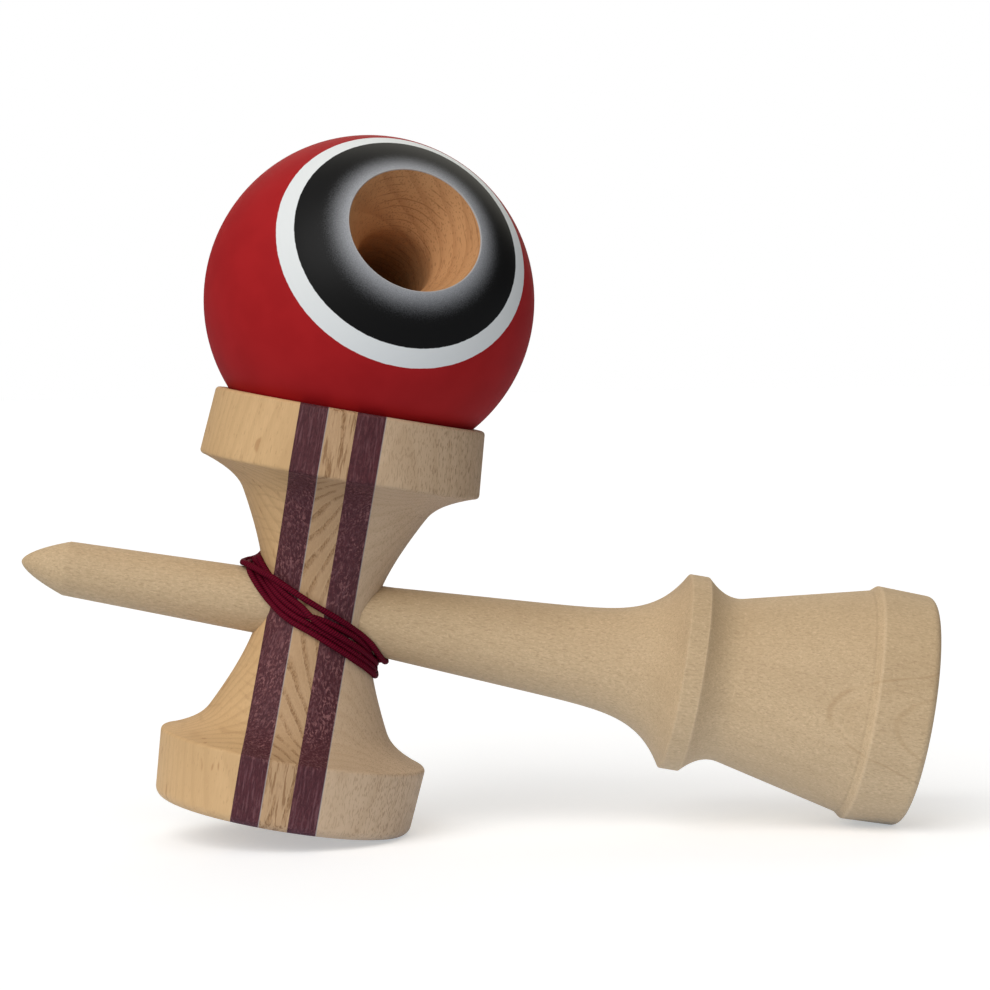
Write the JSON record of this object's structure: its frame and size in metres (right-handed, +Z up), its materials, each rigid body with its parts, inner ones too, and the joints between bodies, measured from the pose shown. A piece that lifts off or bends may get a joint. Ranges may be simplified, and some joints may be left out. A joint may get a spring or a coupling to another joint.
{
  "type": "kendama",
  "caption": "Wooden skill toy: a turned handle with a spike through a striped double cup, and a painted ball with a bevelled hole resting on the larger cup, joined by a string.",
  "frame": {"origin": "on the surface that the toy lies on, under the middle of its box", "axes": "+X from the spike toward the base, level with the surface; +Z up; +Y away from the side that shows the ball's hole"},
  "size_m": [0.1664, 0.0642, 0.1273],
  "materials": {
    "maple": "fine sanded and lightly sealed, satin",
    "cup_wood_warm": "fine sanded, satin",
    "cup_wood_pale": "fine sanded, satin",
    "dark_strip": "fine sanded, satin",
    "open_grain_strip": "fine sanded, satin",
    "painted_ball": "satin paint, with bare wood in the hole",
    "bead_wood": "plain turned wood",
    "string": "fine braided cord"
  },
  "bodies": {
    "ken": {"ken": "maple"},
    "sarado": {"sarado_left_block_upper": "cup_wood_warm", "sarado_left_block_lower": "cup_wood_warm", "sarado_left_stripe": "dark_strip", "sarado_centre_strip": "open_grain_strip", "sarado_right_stripe": "dark_strip", "sarado_right_block": "cup_wood_pale", "string_winding": "string", "string_to_tama": "string", "string_in_sarado": "string"},
    "string_end": {"string_in_tama": "string"},
    "tama": {"tama": "painted_ball"},
    "bead": {"bead": "bead_wood"}
  },
  "joints": [
    {"name": "sarado_pull", "type": "slide", "parent": "ken", "child": "sarado", "axis": [-0.9828, 0, 0.1844], "range_m": [0, 0.066]},
    {"name": "tama_lift", "type": "slide", "parent": "sarado", "child": "string_end", "axis": [0.1844, 0, 0.9828], "range_m": [0, 0.009]},
    {"name": "tama_spin", "type": "hinge", "parent": "string_end", "child": "tama", "pos_m": [-0.01931, 0, 0.09732], "axis": [0.3074, -0.8476, 0.4325], "continuous": true},
    {"name": "bead_turn", "type": "hinge", "parent": "string_end", "child": "bead", "pos_m": [-0.01931, 0, 0.09732], "axis": [0.3074, -0.8476, 0.4325], "continuous": true}
  ]
}
